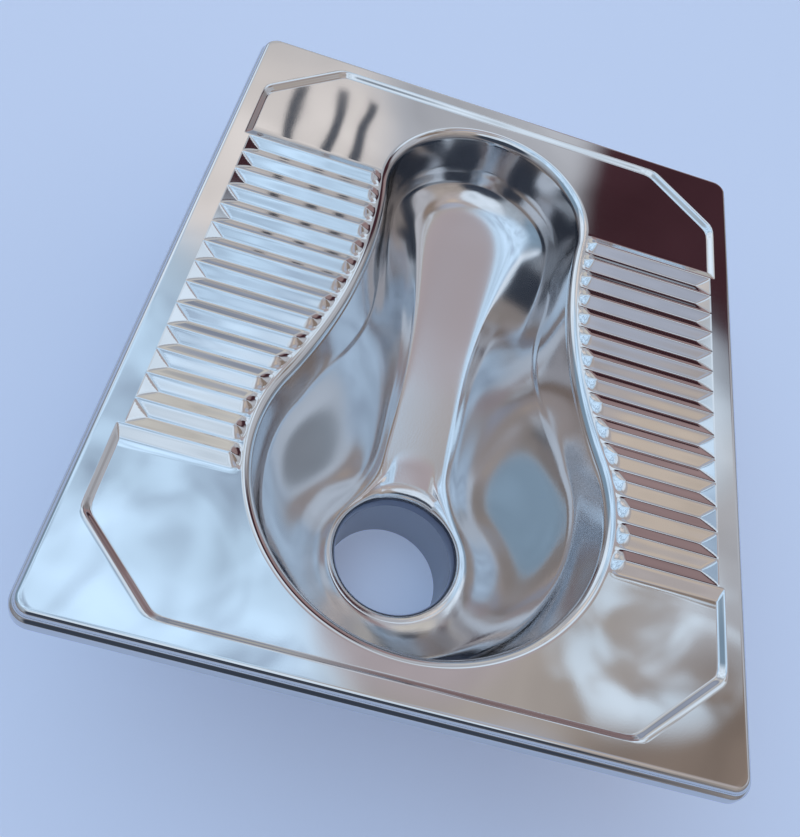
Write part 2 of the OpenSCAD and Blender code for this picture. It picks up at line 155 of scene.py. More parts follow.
def shell_mesh(name, front, back, attributes=None):
    """A closed sheet from the stations of its front and back, given for the right half."""
    rows = full_loop(np.concatenate([front, back[:, ::-1]], 1))
    n, m = rows.shape[:2]
    i, k = np.meshgrid(np.arange(n), np.arange(m), indexing="ij")
    after, beside = (i + 1) % n, (k + 1) % m
    quads = np.stack([i * m + k, i * m + beside, after * m + beside, after * m + k], -1)
    quads = quads.reshape(-1, 4)
    points = rows.reshape(-1, 3) * MM
    a, b, c, d = (points[quads[:, j]] for j in range(4))
    volume = np.einsum("ij,ij->i", a, np.cross(b, c) + np.cross(c, d)).sum()
    if volume < 0:
        quads = quads[:, ::-1]
    mesh = bpy.data.meshes.new(name)
    mesh.vertices.add(len(points))
    mesh.vertices.foreach_set("co", points.ravel())
    mesh.loops.add(quads.size)
    mesh.loops.foreach_set("vertex_index", quads.ravel())
    mesh.polygons.add(len(quads))
    mesh.polygons.foreach_set("loop_start", np.arange(0, quads.size, 4))
    mesh.update(calc_edges=True)
    mesh.polygons.foreach_set("use_smooth", np.ones(len(quads), dtype=bool))
    mesh.set_sharp_from_angle(angle=SHARP_FROM)
    for key, (front_values, back_values) in (attributes or {}).items():
        values = np.concatenate([front_values, back_values[:, ::-1]], 1)
        values = np.concatenate([values, values[-2:0:-1]]).ravel()
        layer = mesh.attributes.new(key, "FLOAT", "POINT")
        layer.data.foreach_set("value", values.astype(np.float32))
    mesh.validate()
    piece = bpy.data.objects.new(name, mesh)
    bpy.context.scene.collection.objects.link(piece)
    return piece


# ---------------------------------------------------------------- deck
OCT_W, OCT_L = HALF_W - BORDER_SIDE, HALF_L - BORDER_END
CHAMFER_N = np.array([CHAMFER_Y, CHAMFER_X]) / math.hypot(CHAMFER_X, CHAMFER_Y)
# stations over which the octagon's corners are rounded and its side is straight again
OCT_BLEND, OCT_TAPS, STRAIGHT = 0.55, 9, 0.8
SMALLEST_CORNER = 3.0


def end_path(corner_points, u):
    """Point at station u of the end's runs: along the end, over the chamfer, down the side."""
    ends = (0, TURN_FROM, TURN_TO, FAR_LAST)
    xs = np.interp(u, ends, [p[0] for p in corner_points])
    ys = np.interp(u, ends, [p[1] for p in corner_points])
    return np.stack([xs, ys], -1)


def octagon_end(u, w):
    side_y = OCT_L - CHAMFER_Y - w * (1 - CHAMFER_N[0]) / CHAMFER_N[1]
    end_x = OCT_W - CHAMFER_X - w * (1 - CHAMFER_N[1]) / CHAMFER_N[0]
    corners = [(0, OCT_L - w), (end_x, OCT_L - w), (OCT_W - w, side_y), (OCT_W - w, TREAD_END)]
    # a moving average over the run rounds the octagon's corners
    taps = np.linspace(-OCT_BLEND, OCT_BLEND, OCT_TAPS)
    weights = np.cos(taps / OCT_BLEND * math.pi / 2) ** 2 + 1e-3
    total = np.zeros((len(u), 2))
    for tap, weight in zip(taps, weights / weights.sum()):
        v = np.minimum(u + tap, FAR_LAST)
        p = end_path(corners, np.abs(v))
        p[:, 0] = np.where(v < 0, -p[:, 0], p[:, 0])
        total += p * weight
    near_side = np.clip((u - FAR_LAST + STRAIGHT) / STRAIGHT, 0, 1)[:, None]
    return lerp(total, end_path(corners, u), near_side)


def edge_end(u, inset):
    radius = max(CORNER_R - inset, SMALLEST_CORNER)
    centre = np.array([HALF_W - inset - radius, HALF_L - inset - radius])
    turn = np.radians(90 - 90 * np.clip((u - TURN_FROM) / (TURN_TO - TURN_FROM), 0, 1))
    arc = centre + radius * np.stack([np.cos(turn), np.sin(turn)], -1)
    arc[:, 0] = np.where(u < TURN_FROM, lerp(0, centre[0], u / TURN_FROM), arc[:, 0])
    down = (u - TURN_TO) / (FAR_LAST - TURN_TO)
    arc[:, 1] = np.where(u > TURN_TO, lerp(centre[1], TREAD_END, down), arc[:, 1])
    return arc


def round_loop(u, end_shape, side_x):
    """The whole half loop from the end's shape, mirrored for the other end."""
    far = end_shape(np.clip(u, 0, FAR_LAST))
    near = end_shape(np.clip(LAST - u, 0, FAR_LAST))
    near[:, 1] *= -1
    side = np.stack([np.full(len(u), side_x), station_y(u)], -1)
    beyond = np.where((u > NEAR_FIRST)[:, None], near, side)
    return np.where((u < FAR_LAST)[:, None], far, beyond)


def octagon_loop(u, w):
    return round_loop(u, lambda v: octagon_end(v, w), OCT_W - w)


def edge_loop(u, inset):
    return round_loop(u, lambda v: edge_end(v, inset), HALF_W - inset)


def edge_section():
    """(inset, height, angle of the normal) from the border's rim down to the hem."""
    root = DECK_TOP - EDGE_R
    turns = np.radians(np.linspace(0, 90, 11))
    roll = [(EDGE_R * (1 - math.sin(a)), root + EDGE_R * math.cos(a), a) for a in turns]
    bends = [
        (-0.06 * FLARE_W, root - 0.8, 66),
        (-0.30 * FLARE_W, root - 1.5, 46),
        (-0.62 * FLARE_W, root - 2.3, 48),
        (-0.76 * FLARE_W, root - 3.0, 66),
        (-0.82 * FLARE_W, root - 4.0, 82),
        (-0.92 * FLARE_W, root - 6.5, 84),
        (-FLARE_W, HEM_GAP, 84),
    ]
    return roll + [(o, z, math.radians(a)) for o, z, a in bends]


def with_z(xy, z):
    return np.concatenate([xy, np.broadcast_to(np.reshape(z, (-1, 1)), (len(xy), 1))], 1)


# stations within half a rib, as shares of the half rib
RIB_ROWS = (0, 0.04, 0.09, 0.17, 0.30, 0.45, 0.60, 0.74, 0.85, 0.92, 0.965)
END_STATIONS = 56
# rows across the deck: millimetres from the rim, shares of the middle, millimetres from the
# octagon's step, shares of the step, shares of the border
RIM_ROWS = (0.6, 1.5, 2.7, 4.0, 5.4, 7.0, 9.0, 12.0)
MIDDLE_ROWS = (0.25, 0.5, 0.75)
RAMP_ROWS = (14.0, 11.6, 10.6, 9.6, 8.6, 7.6, 6.6, 5.6, 4.6, 3.6, 2.6, 1.6, 0.8)
STEP_ROWS = (0.0, 0.12, 0.25, 0.4, 0.6, 0.75, 0.88, 1.0)
BORDER_ROWS = (0.06, 0.2, 0.5, 0.8, 0.94)
LARGEST_SHARE, STEP_EASE, FAR_OFF = 0.33, 0.35, 99
ROLL_ROWS, ROLL_ROWS_BELOW = 13, 6


def deck_stations():
    half_rib = np.array(RIB_ROWS) / 2
    rib = np.concatenate([half_rib, 1 - np.append(half_rib[1:], 0.5)[::-1]])
    side = np.concatenate([FAR_LAST + r + rib for r in range(RIB_COUNT)])
    ends = np.linspace(0, FAR_LAST, END_STATIONS, endpoint=False)
    return np.concatenate([ends, side, NEAR_FIRST + (FAR_LAST - ends[::-1]), [LAST]])[:-1]


def row_share(kind, value, gap):
    """How far a row lies from the rim (0) to the octagon's step (1)."""

    def reach(size):
        return np.minimum(size, gap * LARGEST_SHARE) / gap

    if kind == "rim":
        return reach(value)
    if kind == "ramp":
        return 1 - reach(value)
    return lerp(reach(RIM_ROWS[-1]), 1 - reach(RAMP_ROWS[0]), value)


def deck_skin(u, depth, roll_rows, spread, section):
    """Rows of the deck's face at one depth of the sheet, with what the ribs read from them."""
    rows, facts = [], []

    def add(row, *row_facts):
        rows.append(row)
        facts.append([np.broadcast_to(np.asarray(fact, float), u.shape) for fact in row_facts])

    # the facts are the distances from the rim and from the octagon's step, and the level
    add(seam_at(u, depth), 0, FAR_OFF, 0)
    for t in np.linspace(1, 0, roll_rows):
        add(roll_at(u, ROLL_ANGLE * t, ROLL_R - depth), 0, FAR_OFF, 0)
    rim = rim_at(u, 0, 0)[:, :2]
    inner = octagon_loop(u, STEP_W)
    gap = np.linalg.norm(inner - rim, axis=1)
    for kind, value in spread:
        share = row_share(kind, value, gap)
        row = with_z(lerp(rim, inner, share[:, None]), PANEL_Z - depth)
        add(row, share * gap, (1 - share) * gap, 0)
    for t in STEP_ROWS:
        rise = ease(t) * STEP_EASE + t * (1 - STEP_EASE)
        row = with_z(octagon_loop(u, STEP_W - t * STEP_W), PANEL_Z + PANEL_DROP * rise - depth)
        add(row, FAR_OFF, -t * STEP_W, rise)
    border = edge_loop(u, section[0][0] + depth * math.sin(section[0][2]))
    for share in BORDER_ROWS:
        row = with_z(lerp(octagon_loop(u, 0.0), border, share), DECK_TOP - depth)
        add(row, FAR_OFF, -FAR_OFF, 1)
    for inset, z, angle in section:
        height = max(HEM_GAP, z - depth * math.cos(angle))
        row = with_z(edge_loop(u, inset + depth * math.sin(angle)), height)
        add(row, FAR_OFF, -FAR_OFF, 1)
    return np.stack(rows, 1), np.transpose(facts, (1, 2, 0))


def build_deck():
    u = deck_stations()
    rim_side = [("rim", v) for v in RIM_ROWS]
    middle = [("middle", v) for v in MIDDLE_ROWS]
    ramp_side = [("ramp", v) for v in RAMP_ROWS]
    section = edge_section()
    front, front_facts = deck_skin(u, 0.0, ROLL_ROWS, rim_side + middle + ramp_side, section)
    sparse = rim_side[1::3] + middle[::2] + ramp_side[1::4]
    sparse_section = section[::2] + [section[-1]]
    back, back_facts = deck_skin(u, SHEET, ROLL_ROWS_BELOW, sparse, sparse_section)
    names = ("rim_gap", "panel_gap", "level")
    facts = {name: (f, b) for name, f, b in zip(names, front_facts, back_facts)}
    return shell_mesh("pressed_deck", front, back, facts)


# ---------------------------------------------------------------- ribs pressed into the deck
class FieldMaths:
    """Short-hand for the field maths of a geometry tree."""

    def __init__(self, tree):
        self.tree = tree

    def node(self, kind, *inputs, **options):
        node = self.tree.nodes.new(kind)
        for key, value in options.items():
            setattr(node, key, value)
        for socket, value in zip(node.inputs, inputs):
            if isinstance(value, bpy.types.NodeSocket):
                self.tree.links.new(value, socket)
            elif value is not None:
                socket.default_value = value
        return node

    def math(self, operation, *inputs):
        return self.node("ShaderNodeMath", *inputs, operation=operation).outputs[0]

    def attribute(self, name):
        node = self.tree.nodes.new("GeometryNodeInputNamedAttribute")
        node.data_type = "FLOAT"
        node.inputs["Name"].default_value = name
        return node.outputs["Attribute"]


RIB_INPUTS = {
    "Rib pitch": RIB_PITCH,
    "Rib rise": PANEL_DROP,
    "Tread half length": TREAD_END,
    "Hip length": HIP_L,
    "Ramp length": RAMP_L,
}
CREST_SOFTNESS = 0.975
RAMP_BLEND = 0.05


def rib_tree():
    tree = bpy.data.node_groups.new("press_ribs", "GeometryNodeTree")
    face = tree.interface
    face.new_socket("Geometry", in_out="INPUT", socket_type="NodeSocketGeometry")
    for name in RIB_INPUTS:
        face.new_socket(name, in_out="INPUT", socket_type="NodeSocketFloat")
    face.new_socket("Finish", in_out="INPUT", socket_type="NodeSocketMaterial")
    face.new_socket("Geometry", in_out="OUTPUT", socket_type="NodeSocketGeometry")
    f = FieldMaths(tree)
    start = tree.nodes.new("NodeGroupInput").outputs
    # the mesh is in metres and the sizes in millimetres
    place = tree.nodes.new("GeometryNodeInputPosition").outputs[0]
    y = f.math("MULTIPLY", f.node("ShaderNodeSeparateXYZ", place).outputs["Y"], 1 / MM)
    phase = f.math("DIVIDE", f.math("ADD", y, start["Tread half length"]), start["Rib pitch"])
    wave = f.math("COSINE", f.math("MULTIPLY", phase, 2 * math.pi))
    slant = f.math("ARCSINE", f.math("MULTIPLY", wave, CREST_SOFTNESS))
    crest = f.math("SUBTRACT", 0.5, f.math("DIVIDE", slant, 2 * math.asin(CREST_SOFTNESS)))
    away = f.math("ABSOLUTE", y)
    on_tread = f.math("LESS_THAN", away, start["Tread half length"])
    hip = f.node("ShaderNodeMapRange", f.attribute("rim_gap"), 0.0, start["Hip length"], 0.0, 1.0)
    rib = f.math("MULTIPLY", f.math("MULTIPLY", crest, on_tread), hip.outputs[0])
    along = f.math("DIVIDE", f.attribute("panel_gap"), start["Ramp length"])
    climb = f.node("ShaderNodeClamp", f.math("SUBTRACT", 1.0, along), 0.0, 1.0).outputs[0]
    half_pitch = f.math("MULTIPLY", start["Rib pitch"], 0.5)
    last_crest = f.math("SUBTRACT", start["Tread half length"], half_pitch)
    ramp = f.math("MULTIPLY", climb, f.math("LESS_THAN", away, last_crest))
    height = f.math("SMOOTH_MAX", rib, ramp, RAMP_BLEND)
    level = f.attribute("level")
    lift = f.math("SUBTRACT", f.math("MAXIMUM", f.math("MINIMUM", height, 1.0), level), level)
    lift = f.math("MULTIPLY", lift, on_tread)
    rise = f.math("MULTIPLY", f.math("MULTIPLY", lift, start["Rib rise"]), MM)
    offset = f.node("ShaderNodeCombineXYZ", 0.0, 0.0, rise).outputs[0]
    moved = tree.nodes.new("GeometryNodeSetPosition")
    tree.links.new(start["Geometry"], moved.inputs["Geometry"])
    tree.links.new(offset, moved.inputs["Offset"])
    real = f.node("GeometryNodeRealizeInstances", moved.outputs[0])
    painted = tree.nodes.new("GeometryNodeSetMaterial")
    tree.links.new(real.outputs[0], painted.inputs["Geometry"])
    tree.links.new(start["Finish"], painted.inputs["Material"])
    end = tree.nodes.new("NodeGroupOutput")
    tree.links.new(painted.outputs[0], end.inputs[0])
    return tree


def press_ribs(deck, finish):
    tree = rib_tree()
    modifier = deck.modifiers.new("press_ribs", "NODES")
    modifier.node_group = tree
    for item in tree.interface.items_tree:
        if item.in_out == "INPUT" and item.name in RIB_INPUTS:
            modifier[item.identifier] = RIB_INPUTS[item.name]
        if item.in_out == "INPUT" and item.name == "Finish":
            modifier[item.identifier] = finish
    seen = deck.evaluated_get(bpy.context.evaluated_depsgraph_get())
    mesh = bpy.data.meshes.new_from_object(seen)
    deck.modifiers.remove(modifier)
    deck.data = mesh
    deck.data.name = "pressed_deck"


# ---------------------------------------------------------------- bowl
BOWL_NEAR_Y = -NEAR_Y - NEAR_R
NECK_SLOPE, SIDE_SLOPE, TIP_SLOPE, SLOPE_START, SLOPE_RUN = 9.0, 27.0, 22.0, -10.0, 115.0
FUNNEL_SHARE, FUNNEL_FALL = 0.60, 0.84
# how many stations before the neck the funnel and its floor begin, and over how many
BLEND_LEAD, BLEND_STATIONS, FLOOR_LEAD, FLOOR_STATIONS = 3, 8, 1, 3
# bearing of the drain's edge, in degrees, where the channel's side ends
SIDE_BEARING = 62
# the most that a rounded corner takes of the runs beside it
ROUND_SHARE, HOLE_SHARE = 0.46, 0.66
STATION_STEPS, WALL_ROWS, CURVE_ROWS, FLOOR_ROWS = 8, 5, 9, 14
# rows that are evened out, passes along the stations and passes down the rows
SOFT_FIRST, SOFT_LAST, SOFT_ALONG, SOFT_DOWN = 9, 50, 120, 20
CREST_STEP = 0.02


def foot_z(y):
    t = np.maximum(0, (FOOT_BEND_Y - y) / (FOOT_BEND_Y - BOWL_NEAR_Y))
    return DECK_TOP - lerp(FOOT_FAR_D, FOOT_NEAR_D, t**FOOT_POWER)


def foot_inset(y):
    t = np.clip((y - SWELL_Y) / SWELL_L, -1, 1)
    swell = SWELL * np.cos(t * math.pi / 2) ** 2
    return SEAM_O + (SEAM_Z - foot_z(y)) * math.tan(DRAFT) + swell


def crest_z(y):
    return DECK_TOP - lerp(CREST_FAR_D, CREST_NEAR_D, ease((CREST_TOP_Y - y) / CREST_RUN))


def floor_z(y):
    return DECK_TOP - lerp(FLOOR_NEAR_D, FLOOR_FAR_D, np.clip((y - FLOOR_START) / FLOOR_RUN, 0, 1))


DRAIN_Z = DECK_TOP - FLOOR_NEAR_D
LIP_Z = DRAIN_Z - DRAIN_LIP


def fillet():
    """Centre and bearing of the arc that leads from the neck into the ring round the drain."""
    x = NECK_HALF + RING_FILLET
    rise = math.sqrt((RING_R + RING_FILLET) ** 2 - x * x)
    return np.array([x, rise - RING_Y]), math.degrees(math.atan2(rise, x))


FILLET_C, FILLET_A = fillet()


def channel_share(y):
    return ease(y / CHANNEL_Y)


def crest_half(y):
    return lerp(NECK_HALF, CHANNEL_R, channel_share(y))


def ring_bearing(u):
    return lerp(FILLET_A, -90, np.clip((u - RING_AT) / (LAST - RING_AT), 0, 1))


def crest_xy(u):
    turn = np.radians(90 - 90 * np.clip(u / FAR_LAST, 0, 1))
    far = np.stack([CHANNEL_R * np.cos(turn), CHANNEL_Y + CHANNEL_R * np.sin(turn)], -1)
    y = lerp(CHANNEL_Y, FILLET_C[1], np.clip((u - FAR_LAST) / (NECK_AT - FAR_LAST), 0, 1))
    side = np.stack([crest_half(y), y], -1)
    turn = np.radians(180 + FILLET_A * np.clip((u - NECK_AT) / (RING_AT - NECK_AT), 0, 1))
    bend = FILLET_C + RING_FILLET * np.stack([np.cos(turn), np.sin(turn)], -1)
    turn = np.radians(ring_bearing(u))
    ring = np.array([0, -RING_Y]) + RING_R * np.stack([np.cos(turn), np.sin(turn)], -1)
    u = u[:, None]
    near = np.where(u <= RING_AT, bend, ring)
    return np.where(u <= FAR_LAST, far, np.where(u <= NECK_AT, side, near))


def crest_inward(u):
    way = crest_xy(np.minimum(u + CREST_STEP, LAST)) - crest_xy(np.maximum(u - CREST_STEP, 0))
    inward = unit(np.stack([way[:, 1], -way[:, 0]], -1))
    inward[0], inward[-1] = (0, -1), (0, 1)
    return inward


def slope_width(y):
    """How far the channel's wall runs in from its crest: steep at the neck, gentle further on."""
    side = lerp(NECK_SLOPE, SIDE_SLOPE, ease((y - SLOPE_START) / SLOPE_RUN))
    return side - (SIDE_SLOPE - TIP_SLOPE) * ease((y - CHANNEL_Y) / CHANNEL_R)


def base_inset(u):
    return slope_width(crest_xy(u)[:, 1])


def drain_bearing(u):
    along = lerp(90, SIDE_BEARING, np.clip(u / NECK_AT, 0, 1))
    turning = lerp(SIDE_BEARING, FILLET_A, np.clip((u - NECK_AT) / (RING_AT - NECK_AT), 0, 1))
    return np.where(u <= NECK_AT, along, np.where(u <= RING_AT, turning, ring_bearing(u)))


def drain_at(u, radius, z):
    turn = np.radians(drain_bearing(u))
    return with_z(np.stack([radius * np.cos(turn), -DRAIN_Y + radius * np.sin(turn)], -1), z)


def rounded(a, b, c, length, steps, length_after=None, share=ROUND_SHARE):
    """Curve that rounds corner b between a and c, as rows."""
    to_a, to_c = a - b, c - b
    far_a = np.linalg.norm(to_a, axis=1, keepdims=True)
    far_c = np.linalg.norm(to_c, axis=1, keepdims=True)
    p = b + to_a / far_a * np.minimum(length, far_a * share)
    q = b + to_c / far_c * np.minimum(length_after or length, far_c * share)
    return [lerp(lerp(p, b, t), lerp(b, q, t), t) for t in np.linspace(0, 1, steps)]


def between(a, b, count):
    return [lerp(a, b, t) for t in np.linspace(0, 1, count + 2)[1:-1]]


def floor_half(y):
    return np.maximum(1.0, crest_half(y) - slope_width(y))


def floor_rows(u, start, end, count):
    """The channel's floor from the foot of its wall to the drain."""
    share = ease((u - NECK_AT + FLOOR_LEAD) / FLOOR_STATIONS)[:, None]
    top = np.minimum(start[:, 1], CHANNEL_Y)
    lean_start = start[:, 0] / floor_half(top)
    lean_end = end[:, 0] / floor_half(end[:, 1])
    rows = []
    for v in np.linspace(0, 1, count + 2)[1:-1]:
        y = lerp(start[:, 1], end[:, 1], v)
        lean = lerp(lean_start, lean_end, v)
        bent = np.stack([floor_half(np.minimum(y, CHANNEL_Y)) * lean, y, floor_z(y)], -1)
        rows.append(lerp(bent, lerp(start, end, v), share))
    return rows


def bowl_rows(u, wall, curve, floor):
    """Rows of the bowl's wet side: seam, foot of the wall, crest, channel, drain and lip."""
    seam = seam_at(u, 0.0)
    y = station_y(u)
    foot = rim_at(u, foot_inset(y), foot_z(y))
    ridge = crest_xy(u)
    crest = with_z(ridge, crest_z(ridge[:, 1]))
    base_xy = ridge + crest_inward(u) * base_inset(u)[:, None]
    base = with_z(base_xy, floor_z(base_xy[:, 1]))
    hole, lip = drain_at(u, DRAIN_R, DRAIN_Z), drain_at(u, DRAIN_R, LIP_Z)
    around_drain = ease((u - NECK_AT + BLEND_LEAD) / BLEND_STATIONS)[:, None]
    funnel_foot = lerp(crest, hole, np.array([FUNNEL_SHARE, FUNNEL_SHARE, FUNNEL_FALL]))
    base = lerp(base, funnel_foot, around_drain)
    to_foot = rounded(seam, foot, crest, FOOT_ROUND, curve)
    to_crest = rounded(foot, crest, base, SHELF_ROUND, curve, CREST_ROUND)
    ahead = lerp(base, hole, 0.5)
    ahead[:, 2] = np.where(u <= NECK_AT, base[:, 2], ahead[:, 2])
    to_base = rounded(crest, base, ahead, CHANNEL_ROUND, curve)
    before_hole = lerp(hole, base, lerp(0.5, 1.0, around_drain))
    to_hole = rounded(before_hole, hole, lip, DRAIN_ROUND, curve, share=HOLE_SHARE)
    rows = [seam] + between(seam, to_foot[0], wall) + to_foot
    rows += between(to_foot[-1], to_crest[0], wall) + to_crest
    rows += between(to_crest[-1], to_base[0], wall) + to_base
    rows += floor_rows(u, to_base[-1], to_hole[0], floor) + to_hole + [lip]
    return np.stack(rows, 1)


def neighbours(half):
    """The stations before and after each one, with the mirrored half's at both ends."""
    before = np.concatenate([half[1:2] * (-1, 1, 1), half[:-1]])
    after = np.concatenate([half[1:], half[-2:-1] * (-1, 1, 1)])
    return before, after


def soften(rows, first, last, passes, passes_down):
    """Evens out the drawn sheet along the stations, then down them between two rows."""
    half = rows.copy()
    for _ in range(passes):
        before, after = neighbours(half)
        mixed = (before + 2 * half + after) / 4
        half[:, first:-1] = mixed[:, first:-1]
    for _ in range(passes_down):
        mixed = (half[:, :-2] + 2 * half[:, 1:-1] + half[:, 2:]) / 4
        half[:, first + 1 : last] = mixed[:, first : last - 1]
    return half


def build_bowl():
    u = np.linspace(0, LAST, LAST * STATION_STEPS + 1)
    wet = bowl_rows(u, WALL_ROWS, CURVE_ROWS, FLOOR_ROWS)
    wet = soften(wet, SOFT_FIRST, SOFT_LAST, SOFT_ALONG, SOFT_DOWN)
    before, after = neighbours(wet)
    down = np.gradient(wet, axis=1)
    outward = unit(np.cross(after - before, down))
    dry = wet + outward * SHEET
    dry[:, 0] = seam_at(u, SHEET)
    dry[:, -1] = drain_at(u, DRAIN_R + SHEET, LIP_Z)
    keep = sorted(set(range(0, dry.shape[1], 2)) | {dry.shape[1] - 1})
    return shell_mesh("drawn_bowl", wet, dry[:, keep])


# ---------------------------------------------------------------- finishes
# colour, roughness from and to, depth of the waves, scale and depth of the grain, colour of the
# painted throat shade
STEELS = {
    "polished_steel": ((0.61, 0.62, 0.64), (0.03, 0.07), 0.0005, 900.0, 0.000002, None),
    "satin_steel": ((0.62, 0.62, 0.64), (0.10, 0.16), 0.0006, 700.0, 0.00002, (0.22, 0.24, 0.29)),
    "dull_steel": ((0.42, 0.44, 0.48), (0.35, 0.5), 0.0003, 500.0, 0.00005, None),
}
# how far outside the drain hole's radius the painted shade of the throat ends, and where it is
# full
THROAT_SHADE_END, THROAT_SHADE_FULL = 1.2, 0.3
BITUMEN_COLOR = (0.03, 0.03, 0.033)


class Shade:
    """Short-hand for one shader tree."""

    def __init__(self, name):
        self.material = bpy.data.materials.new(name)
        self.material.use_nodes = True
        self.tree = self.material.node_tree
        self.tree.nodes.clear()
        self.out = self.tree.nodes.new("ShaderNodeOutputMaterial")
        self.shader = self.tree.nodes.new("ShaderNodeBsdfPrincipled")
        self.link(self.shader.outputs["BSDF"], self.out.inputs["Surface"])
        self.place = self.tree.nodes.new("ShaderNodeTexCoord").outputs["Object"]

    def link(self, source, target):
        self.tree.links.new(source, target)

    def noise(self, scale, detail, stretch=(1, 1, 1)):
        mapping = self.tree.nodes.new("ShaderNodeMapping")
        mapping.inputs["Scale"].default_value = stretch
        self.link(self.place, mapping.inputs["Vector"])
        noise = self.tree.nodes.new("ShaderNodeTexNoise")
        noise.inputs["Scale"].default_value = scale
        noise.inputs["Detail"].default_value = detail
        self.link(mapping.outputs[0], noise.inputs["Vector"])
        return noise.outputs["Fac"]

    def spread(self, source, low, high):
        ranged = self.tree.nodes.new("ShaderNodeMapRange")
        self.link(source, ranged.inputs["Value"])
        ranged.inputs["To Min"].default_value = low
        ranged.inputs["To Max"].default_value = high
        return ranged.outputs[0]

    def bump(self, source, distance, normal=None):
        bump = self.tree.nodes.new("ShaderNodeBump")
        bump.inputs["Distance"].default_value = distance
        self.link(source, bump.inputs["Height"])
        if normal is not None:
            self.link(normal, bump.inputs["Normal"])
        return bump.outputs["Normal"]

    def glow_where_seen(self, strength):
        """Lifts the surface where it is seen or mirrored, and lights nothing."""
        path = self.tree.nodes.new("ShaderNodeLightPath").outputs
        seen = path["Is Camera Ray"]
        for ray in ("Is Glossy Ray", "Is Transmission Ray"):
            either = self.tree.nodes.new("ShaderNodeMath")
            either.operation = "MAXIMUM"
            self.link(seen, either.inputs[0])
            self.link(path[ray], either.inputs[1])
            seen = either.outputs[0]
        self.link(self.spread(seen, 0.0, strength), self.shader.inputs["Emission Strength"])


def paint_throat_shade(shade, color, throat_shade_color):
    """Paints shade into the colour of the drain hole's lip, darker than the bowl round it."""
    from_axis = shade.tree.nodes.new("ShaderNodeVectorMath")
    from_axis.operation = "SUBTRACT"
    shade.link(shade.place, from_axis.inputs[0])
    from_axis.inputs[1].default_value = (0.0, -DRAIN_Y * MM, 0.0)
    level = shade.tree.nodes.new("ShaderNodeVectorMath")
    level.operation = "MULTIPLY"
    shade.link(from_axis.outputs[0], level.inputs[0])
    level.inputs[1].default_value = (1.0, 1.0, 0.0)
    radius = shade.tree.nodes.new("ShaderNodeVectorMath")
    radius.operation = "LENGTH"
    shade.link(level.outputs[0], radius.inputs[0])
    # the painted shade is full at the hole's edge and fades out a little way outside it
    inside = shade.tree.nodes.new("ShaderNodeMapRange")
    shade.link(radius.outputs["Value"], inside.inputs["Value"])
    inside.inputs["From Min"].default_value = (DRAIN_R + THROAT_SHADE_END) * MM
    inside.inputs["From Max"].default_value = (DRAIN_R + THROAT_SHADE_FULL) * MM
    mix = shade.tree.nodes.new("ShaderNodeMix")
    mix.data_type = "RGBA"
    shade.link(inside.outputs[0], mix.inputs[0])
    mix.inputs[6].default_value = (*color, 1)
    mix.inputs[7].default_value = (*throat_shade_color, 1)
    shade.link(mix.outputs[2], shade.shader.inputs["Base Color"])


def steel(name, color, rough, wave, grain_scale, grain, throat_shade_color):
    """Bare steel with uneven gloss, slight waves and a drawn grain, and painted shade in the
    drain's throat where a colour for it is given.
    """
    shade = Shade(name)
    shade.shader.inputs["Base Color"].default_value = (*color, 1)
    shade.shader.inputs["Metallic"].default_value = 1.0
    gloss = shade.noise(scale=9.0, detail=4.0)
    shade.link(shade.spread(gloss, *rough), shade.shader.inputs["Roughness"])
    # painted shade: the drain hole's lip gets a darker colour that stands in for the shade in the
    # throat
    if throat_shade_color:
        paint_throat_shade(shade, color, throat_shade_color)
    normal = shade.bump(shade.noise(scale=11.0, detail=1.0), wave)
    drawn = shade.noise(grain_scale, detail=3.0, stretch=(1, 1, 0.15))
    normal = shade.bump(drawn, grain, normal)
    shade.link(normal, shade.shader.inputs["Normal"])
    return shade.material


def bitumen():
    shade = Shade("bitumen_pad")
    shade.shader.inputs["Base Color"].default_value = (*BITUMEN_COLOR, 1)
    patches = shade.noise(scale=60.0, detail=3.0)
    shade.link(shade.spread(patches, low=0.7, high=0.95), shade.shader.inputs["Roughness"])
    grit = shade.noise(scale=400.0, detail=4.0)
    shade.link(shade.bump(grit, distance=0.0004), shade.shader.inputs["Normal"])
    return shade.material


# ---------------------------------------------------------------- stage
FLOOR_Z, FLOOR_REACH = -0.163, 4.0
FLOOR_COLOR, FLOOR_GLOW, GLOW_STRENGTH = (0.68, 0.78, 0.98), (0.55, 0.65, 0.95), 0.15
BACKDROP, LOW_BAND = (0.50, 0.60, 0.76), 0.05

LOW_SIDE = (0.20, 0.19, 0.20)
WARM_SIDE = (0.36, 0.32, 0.29)
COOL_SIDE = (0.34, 0.40, 0.46)
DARK_FLAG = (0.038, 0.048, 0.068)
SLATE_FLAG = (0.26, 0.29, 0.36)
TEAL_FLAG = (0.20, 0.29, 0.38)
MAROON_FLAG = (0.05, 0.020, 0.026)
BROWN_FLAG = (0.23, 0.18, 0.15)
RED_FLAG = (0.27, 0.19, 0.19)
GREY_PANEL = (0.42, 0.43, 0.46)
COOL_PANEL = (0.39, 0.42, 0.50)
WARM_PANEL = (0.68, 0.63, 0.60)
PALE_PANEL = (0.42, 0.38, 0.37)
CREAM_PANEL = (0.56, 0.54, 0.50)
GOLD_PANEL = (0.53, 0.45, 0.38)
MAUVE_PANEL = (0.40, 0.35, 0.365)
PALE_SOFTBOX = (0.66, 0.76, 0.86)
COOL_SOFTBOX = (0.70, 0.80, 0.90)
OVERHEAD = (0.60, 0.80, 1.0)
OVERHEAD_SHADE = (0.24, 0.30, 0.40)

# cosines between which the cool side and all that is higher up fade in
SIDE_FADE, LOW_FADE = (-0.35, 0.55), (0.05, 0.75)
